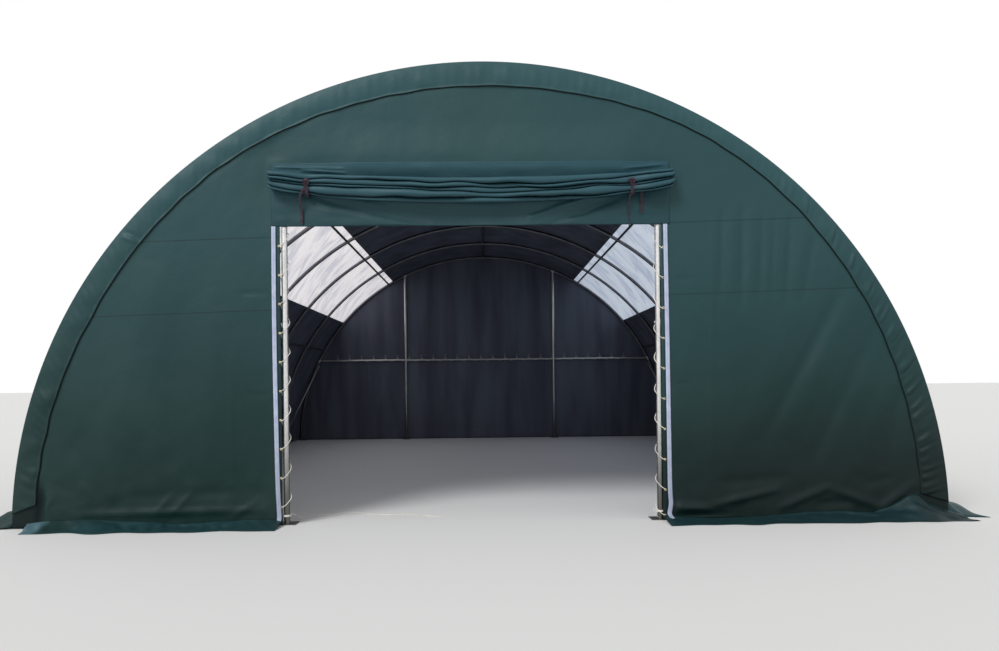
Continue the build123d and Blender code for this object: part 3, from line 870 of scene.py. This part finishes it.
def band_points(hem, feet, lines, spacing, seed, left, right):
    """Grid of an edge band, from its foot on the right over the crown to the left one.

    Its columns go round the hem cord, whose radius round the arch is interpolated from
    `hem`, up the face, round the corner and onto the cover. Puckers are ripples stretched
    across the band, leaning up and out, and stronger by `left` or `right` near the ground.
    Each foot is cut on a slope, 0.022 rad higher at the cord than at the cover.
    """
    low, last = (np.arcsin((foot - arch_centre) / cover_radius) for foot in feet)
    rows = int((np.pi - low - last) * cover_radius / spacing)
    angle = np.linspace(low, np.pi - last, rows)[:, None]
    run = cover_radius * angle
    cord = np.radians(np.linspace(60, 300, 8))
    face = np.linspace(0, 1, 14)
    corner = np.radians(np.linspace(285, 360, 5))
    rim = band_outside - corner_radius
    hem = np.interp(np.degrees(angle), hem_degrees, hem) + 0.003 * ripple(run, 0, 0.3, seed)
    flat = np.ones_like(angle)
    radius = np.hstack([hem + hem_cord * np.cos(cord), hem + 0.01 + (rim - hem - 0.01) * face,
                        rim + corner_radius * np.cos(corner) * flat, [band_outside] * 2 * flat])
    depth = np.concatenate([-0.0015 + hem_cord * np.sin(cord),
                            -0.0045 - band_belly * np.sin(np.pi * face) ** 0.8,
                            0.0075 + corner_radius * np.sin(corner), [0.030, 0.070]])
    reach = np.clip((radius - hem) / (rim - hem), 0, 1)
    pull = 0.30 + right * step(1.2, 0.2, angle) + left * step(1.9, 2.9, angle)
    lean = 0.17 * np.cos(angle)
    pucker = ripple(run - lean * reach, 0.25 * reach, 0.085, seed + 1, stretch=7.0)
    crumple = ripple(run, 0.25 * reach, 0.30, seed + 2, stretch=1.5)
    fade = np.sin(np.pi * reach**0.55) ** 0.8
    relief = fade * (0.0075 * pull * pucker + 0.0040 * crumple) + folds(run, 0.25 * reach, lines)
    on_face = step(0.0, 0.12, reach) * step(1.0, 0.93, reach)
    slope = 0.022 * (step(0.35, 0.0, angle) - step(2.79, np.pi, angle))
    points = on_arch(radius, angle + slope * (1 - reach), 0.0)
    points[..., 1] = front + depth - np.maximum(relief * on_face, -0.007)
    return points


pinch = cover_radius * np.radians(139.7)
pinch_folds = [(pinch, 0.0, pinch + 0.05, 0.21, 0.020, 0.016),
               (pinch - 0.05, 0.0, pinch - 0.01, 0.22, 0.022, -0.012)]
right_folds = [(run + lower, 0.02, run + 0.13 + lower, 0.24, width, height)
               for run in cover_radius * np.radians([3, 6, 9.5, 13, 17, 20, 24, 27, 31, 35, 39, 44])
               for lower, width, height in ((0.0, 0.018, 0.015), (-0.030, 0.014, -0.014))]
front_band = band_points(front_hem, (0.15, 0.15), pinch_folds + right_folds, spacing=0.017,
                         seed=51, left=0.55, right=1.0)
back_band = band_points(back_hem, (0.02, 0.02), [], spacing=0.036, seed=61, left=0.6, right=0.6)
back_band = back_band[:, ::-1] * (1, -1, 1)
for name, points in (("front_edge_band", front_band), ("back_edge_band", back_band)):
    add_cloth(f"{name}_cloth", [points], band_cloth,
              thickness=0.0015)

# Door edges: a strip of white webbing is sewn down each side of the doorway, on the edge
# of the wall. It shows a faint line down its middle and darker, stitched edges.
webbing, start, shader = new_material("white_webbing", Roughness=0.78)
flat = start.flat()
(u,), (z,) = flat.parts("X"), start.spot().parts("Z")
middle = start.math("ABSOLUTE", u - 0.024)
white = flat.noise(9.0, 4.0).between(0.35, 0.7).mix(colour(196, 206, 232), colour(182, 190, 218))
white = (1 - middle.between(0.0008, 0.0022)).mix(white, colour(156, 162, 192))
white = middle.between(0.0185, 0.0225).mix(white, colour(72, 78, 92))
feed(shader, "Base Color", (z.between(1.3, 0.2) * 0.5).mix(white, colour(146, 152, 168)))
feed(shader, "Normal", flat.weave(0.0024, 0.0032).bump(0.0004))
strip_routes = {
    "left": [(-2.066, 0.003, 2.953), (-2.069, 0.004, 2.30), (-2.065, 0.004, 1.50),
             (-2.055, 0.005, 0.80), (-2.048, 0.005, 0.36), (-2.037, 0.006, 0.15),
             (-2.034, 0.010, 0.085), (-2.033, 0.022, 0.050), (-2.040, 0.052, 0.040),
             (-2.062, 0.088, 0.036)],
    "right": [(1.817, 0.003, 2.953), (1.826, 0.004, 2.00), (1.831, 0.004, 1.30),
              (1.836, 0.005, 0.60), (1.839, 0.006, 0.26), (1.848, 0.014, 0.175),
              (1.836, 0.014, 0.105), (1.827, 0.020, 0.066), (1.832, 0.050, 0.050),
              (1.842, 0.110, 0.034)],
}


def ribbon(name, path, width, turn, paint, slot, stands_for, rests_on):
    """A strip of webbing as long as its path, facing the front, turned by an angle."""
    tangent = np.gradient(path, axis=0)
    tangent /= np.linalg.norm(tangent, axis=1, keepdims=True)
    flat_side = np.array([1.0, 0.0, 0.0]) - tangent * tangent[:, :1]
    flat_side /= np.linalg.norm(flat_side, axis=1, keepdims=True)
    other = np.cross(tangent, flat_side)
    turn = np.broadcast_to(turn, len(path))[:, None]
    across = np.cos(turn) * flat_side + np.sin(turn) * other
    places = np.linspace(-width / 2, width / 2, 5)
    points = path[:, None] + places[:, None] * across[:, None]
    add_cloth(name, [points], paint, stands_for, inside=None,
              thickness=0.0015)


for name, route in strip_routes.items():
    places = spline_points([(x, wall_face - out, z) for x, out, z in route])
    path, along = resample(places, 0.012)
    path[:, 1] -= 0.0008 * (1 + ripple(along, 0, 0.10, 71)) * step(0, 0.1, along)
    ribbon(f"door_strip_{name}_webbing", path, 0.046, 0.0, webbing, "white_webbing",
           [f"door_strip_{name}"], ["front_wall_cloth"])

# Valance: the part of the door's cloth that hangs below the roll. The ties pull it up at
# two places. It drapes inward to a shallow arc between them, and out again below the arc.
valance_folds = [
    (-1.72, 3.30, -0.70, 3.05, 0.035, 0.016),
    (-1.66, 3.22, -0.50, 2.97, 0.040, -0.012),
    (-1.30, 3.22, 0.30, 3.12, 0.045, 0.012),
    (1.38, 3.31, 0.45, 3.02, 0.030, 0.030),
    (1.36, 3.22, 0.60, 2.93, 0.036, -0.020),
    (-2.00, 3.15, -1.80, 2.96, 0.035, 0.005),
    (1.60, 3.15, 1.80, 2.96, 0.035, 0.006),
    (-2.06, 3.536, -1.36, 3.512, 0.011, 0.018),
    (-1.80, 3.506, -1.34, 3.470, 0.012, 0.024),
    (1.40, 3.500, 1.84, 3.545, 0.012, 0.016),
]
x = np.linspace(low_corner.x - 0.004, high_corner.x + 0.003, 210)[None, :]
z = np.linspace(low_corner.z, high_corner.z, 70)[:, None]
edge = step(0.0, 0.10, np.minimum(x - x.min(), x.max() - x))
swag = 3.03 + 0.24 * np.abs((x + 0.10) / 1.65) ** 1.7
relief = folds(x, z, valance_folds) + 0.0025 * ripple(x, z, 0.35, 81, stretch=0.4)
above, below = np.clip(z - swag, 0, 0.20), np.clip(swag - z, 0, 0.12)
relief += (0.22 * above + 0.20 * below) * step(1.80, 1.40, np.abs(x + 0.10)) * step(3.42, 3.30, z)
relief = np.maximum(relief, -0.002) * (0.2 + 0.8 * edge) + undercut(x, z)
foot = 0.004 * ripple(x, 0, 0.9, 82) * (high_corner.z - z) / (high_corner.z - low_corner.z)
points = joined(x, wall_face - 0.0045 - relief, z + foot)
valance_cloth = coated_cloth("green_valance", colour(34, 66, 72), colour(42, 79, 90), 2.9, 3.7,
                             0.46)
add_cloth("door_valance_cloth", [points], valance_cloth)

# Rolled door: the rest of the same cloth, gathered up by hand into long pleats that lie
# one above the other in front of the wall. They sag between the ties, which pinch them.
pleat_share = np.array([0.24, 0.18, 0.13, 0.29, 0.16])
pleat_reach = np.array([0.84, 0.94, 0.76, 1.00, 0.78])
roll_ends = (-2.088, 1.886)
roll_middle = sum(roll_ends) / 2
tie_x = (-1.712, 1.470)


def roll_shape(x):
    """Top, height and depth of the gathered door at x along it, and how far it is pinched.

    It sags as a parabola between its ends and is taller in the middle, by the root of it,
    and each tie pinches it by a bell 0.13 m wide.
    """
    inside = np.clip(1 - ((x - roll_middle) / (roll_ends[1] - roll_middle)) ** 2, 0, 1)
    pinched = sum(np.exp(-(((x - tie) / 0.13) ** 2)) for tie in tie_x)
    top = 3.492 - 0.078 * inside - 0.006 * pinched
    height = 0.168 + 0.088 * np.sqrt(inside) - 0.020 * pinched
    depth = 0.150 + 0.025 * inside - 0.040 * pinched
    return top, height, depth, pinched


def pleat_points(x, t):
    """The gathered door's surface, t from 0 at its top to 1 at its foot, and the parts s.

    In each pleat, part s of the way through, out = (1 - cos(2 pi s)) / 2 of its reach
    while it steps down its share of the height. It is fattest near its front and droops.
    Shares and reaches vary along the door, and the valleys between pleats are shallow.
    """
    top, height, depth, pinched = roll_shape(x)
    order = np.arange(len(pleat_share))[:, None]
    uneven = 0.42 * ripple(x, 10.0 * order, 1.5, 91) + 0.16 * ripple(x, 10.0 * order, 0.45, 97)
    share = pleat_share[:, None] * np.exp(uneven)
    share = share / share.sum(axis=0)
    above = np.vstack([0 * x, share.cumsum(axis=0)])
    loose = 1 - 0.5 * np.minimum(pinched, 1)
    reach = pleat_reach[:, None] * (1 + 0.20 * ripple(x, 10.0 * order, 1.3, 93) * loose)
    place = np.clip(t, 0, 1) * len(pleat_share)
    pleat = np.minimum(place.astype(int), len(pleat_share) - 1)[:, 0]
    part = place - pleat[:, None]
    out = (1 - np.cos(2 * np.pi * part)) / 2
    fat = 0.06 * np.sin(4 * np.pi * part) - 0.30 * np.sin(2 * np.pi * part) * out
    drop = height * (above[pleat] + share[pleat] * (part + fat))
    valley = 0.45 * step(0.0, 0.12, t) * step(1.0, 0.90, t)
    forward = depth * (valley + (np.minimum(reach[pleat], 1.12) - valley) * out)
    y = wall_face - 0.008 - forward
    z = top - drop - 0.12 * forward
    return joined(x, y, z), joined(x, part)


x = np.linspace(*roll_ends, 120)[None, :]
t = np.linspace(0.9999, 0, 26 * len(pleat_share))[:, None]
# Painted lighter and bluer than the walls' cloth: a painted sheen on the pleats.
door_cloth = coated_cloth("green_rolled_door", colour(44, 79, 89), colour(50, 87, 98), 3.0, 3.7,
                          0.44, pleat_shade=True)
# Its uv v is the part of each pleat, which the paint uses for painted shade under the pleats.
points, parts = pleat_points(x, t)
add_cloth("rolled_door_cloth", [points], door_cloth,
          uvs=[parts])

# Door ties: dark webbing passed round the gathered door and knotted in front, with the
# loose ends hanging over the valance.
tie_webbing, start, shader = new_material("dark_webbing", Roughness=0.82)
flat = start.flat()
worn = flat.noise(22.0, 3.0).between(0.35, 0.7)
feed(shader, "Base Color", worn.mix(colour(44, 30, 44), colour(70, 50, 62)))
feed(shader, "Normal", flat.weave(0.0022, 0.0030).bump(0.0004))

tie_facts = (tie_webbing, "dark_webbing", ["door_straps"], ["rolled_door_cloth"])
for name, x, tails in (
    ("left", tie_x[0], [(-1.782, 2.965, 0.024)]),
    ("right", tie_x[1], [(1.452, 2.925, 0.012), (1.578, 3.06, 0.024)]),
):
    top, height, depth, _ = (float(part) for part in roll_shape(x))
    turn = np.linspace(0, 2 * np.pi, 70)
    squared = np.abs(np.cos(turn)) ** 0.75 * np.sign(np.cos(turn))
    loop_y = wall_face - 0.004 - (depth * 1.02 + 0.010) * (0.5 - 0.5 * squared)
    loop_z = top - 0.035 - height / 2 - 0.06 * depth * (1 - squared)
    loop_z -= (height / 2 - 0.005) * np.sin(turn)
    loop = joined(x + 0.006 * np.sin(turn), loop_y, loop_z)
    ribbon(f"door_tie_{name}_loop", loop, 0.034, 0.10 * np.sin(3 * turn), *tie_facts)
    front_y = wall_face - depth - 0.016
    knot_z = top - 0.55 * height
    for number, (tail_x, foot_z, width) in enumerate(tails):
        fall = np.linspace(0, 1, 40)
        tail_y = front_y + 0.004 + (wall_face - 0.030 - front_y) * step(0.05, 0.75, fall)
        tail_z = knot_z + (foot_z - knot_z) * fall
        bend_x = x + (tail_x - x) * step(0.0, 0.35, fall) + 0.004 * np.sin(9 * fall + number)
        ribbon(f"door_tie_{name}_end_{number + 1}", joined(bend_x, tail_y, tail_z), width,
               0.4 * np.sin(3.0 * fall + number), *tie_facts)
    t = np.linspace(0, 2 * np.pi, 100)
    knot = joined(x + 0.011 * (np.sin(t) + 2 * np.sin(2 * t)), front_y - 0.006 * np.sin(3 * t),
                  knot_z + 0.012 * (np.cos(t) - 2 * np.cos(2 * t)))
    laid_rope(f"door_tie_{name}_knot", knot, 0.016, tie_webbing, "door_straps",
              lay=9)

# Ground skirts: a strip of the same cloth welded along the foot of the walls and cover.
# It slopes out onto the ground to be weighted down, and it ruffles where it is loose.
# Painted lighter low down, where the skirt lies facing the sky, and darker up at the weld: painted
# light and shade.
skirt_low, skirt_high = colour(27, 58, 62), colour(17, 44, 45)
skirt_cloth = coated_cloth("green_skirt", skirt_low, skirt_high, 0.0, 0.22, 0.50)
pale_end = (-4.24, -4.34, 0.30, 0.20, 0.55, colour(104, 138, 152))
left_cloth = coated_cloth("green_skirt_left", skirt_low, skirt_high, 0.0, 0.22, 0.46,
                          tints=[pale_end])
# Painted shade: the right skirt darker low on the right and in the hollow at its outer end.
right_skirt_shade = [(0.2, 2.8, 0.9, 0.1, 0.55, None), (4.22, 4.36, 0.40, 0.30, 0.75, None)]
right_cloth = coated_cloth("green_skirt_right", skirt_low, skirt_high, 0.0, 0.22, 0.50,
                           tints=right_skirt_shade)
side_x, end_y = 4.652, front - 0.003
skirt_lines = {
    "skirt_front_left": ((-4.50, end_y), (-2.006, end_y), 0.300, (0.08, 0.0), "front_wall", [
        (0.0, 0.045), (0.10, 0.055), (0.50, 0.085), (0.90, 0.070), (1.45, 0.030),
        (2.00, 0.045), (2.13, 0.060), (2.50, 0.055)]),
    "skirt_front_right": ((1.775, end_y), (4.63, end_y), 0.300, (0.0, -0.16), "front_wall", [
        (0.0, 0.046), (0.10, 0.036), (0.49, 0.012), (1.01, 0.028), (1.43, 0.066), (1.84, 0.070),
        (2.10, 0.050), (2.26, 0.130), (2.46, 0.225), (2.56, 0.235), (2.66, 0.150), (2.85, 0.060)]),
    "skirt_right": ((side_x, front), (side_x, -front), 0.325, (-0.10, 0.0), "side_cover_right", [
        (0, 0.02), (0.09, 0.11), (0.3, 0.13), (12.2, 0.13)]),
    "skirt_back": ((4.63, -end_y), (-4.63, -end_y), 0.320, (0.05, 0.05), "back_wall", [
        (0, 0.10), (4.7, 0.08), (9.3, 0.10)]),
    "skirt_left": ((-side_x, -front), (-side_x, front), 0.325, (0.0, -0.08), "side_cover_left", [
        (0, 0.13), (11.7, 0.155), (12.11, 0.155), (12.2, 0.02)]),
}
corner_crease = [(2.50, 0.02, 2.86, 0.30, 0.020, 0.016), (2.44, 0.05, 2.80, 0.30, 0.028, -0.018)]


def skirt_points(start, end, reach, insets, crest, creases, seed, spacing):
    """Grid of a skirt along a base line, from its free edge on the ground up to its weld.

    Part s of the way out it has come down from its crest as (1 - s)^1.8, or as 1 - s^2.2
    along the covers, where its front end drops sooner. It is reach * s^1.2 from the wall,
    with its ends drawn in by their insets times s. Ripples and creases lift and push it
    between weld and edge.
    """
    start, end = np.array(start), np.array(end)
    length = np.linalg.norm(end - start)
    along = (end - start) / length
    outward = np.array([along[1], -along[0]])
    u = np.linspace(0, length, int(length / spacing))[None, :]
    s = np.linspace(1, 0, 16)[:, None]
    wave = ripple(u, 0.5 * s, 0.42, seed, stretch=1.6)
    small = ripple(u, 0.4 * s, 0.13, seed + 1, stretch=1.6)
    height = np.interp(u, *np.array(crest).T) * (1 + 0.08 * wave)
    swell = np.sin(np.pi * s**0.8)
    out = reach * s**1.2 + 0.024 * wave * s**2 + 0.008 * small * swell
    lift = np.maximum(0.013 * wave + 0.005 * small, -0.2) * swell + folds(u, reach * s, creases)
    if abs(start[0]) == side_x:
        from_front = u if start[1] < 0 else length - u
        fall = (1 - s**2.2) * (1 - 0.85 * step(0.0, 0.6, s) * step(0.24, 0.0, from_front))
    else:
        fall = (1 - s) ** 1.8
    rise = 0.004 + height * fall + lift
    drawn = u + s * (insets[0] - sum(insets) * u / length)
    place = start + along * drawn[..., None] + outward * out[..., None]
    return joined(place[..., 0], place[..., 1], np.maximum(rise, 0.004))


front_paints = {"skirt_front_left": left_cloth, "skirt_front_right": right_cloth}
for number, (name, line) in enumerate(skirt_lines.items()):
    begin, finish, reach, insets, wall, crest = line
    spacing = 0.022 if "front" in name else 0.06
    creases = corner_crease if name == "skirt_front_right" else []
    paint = front_paints.get(name, skirt_cloth)
    points = skirt_points(begin, finish, reach, insets, crest, creases, 100 + 7 * number, spacing)
    add_cloth(f"{name}_cloth", [points], paint,
              inside=skirt_cloth)
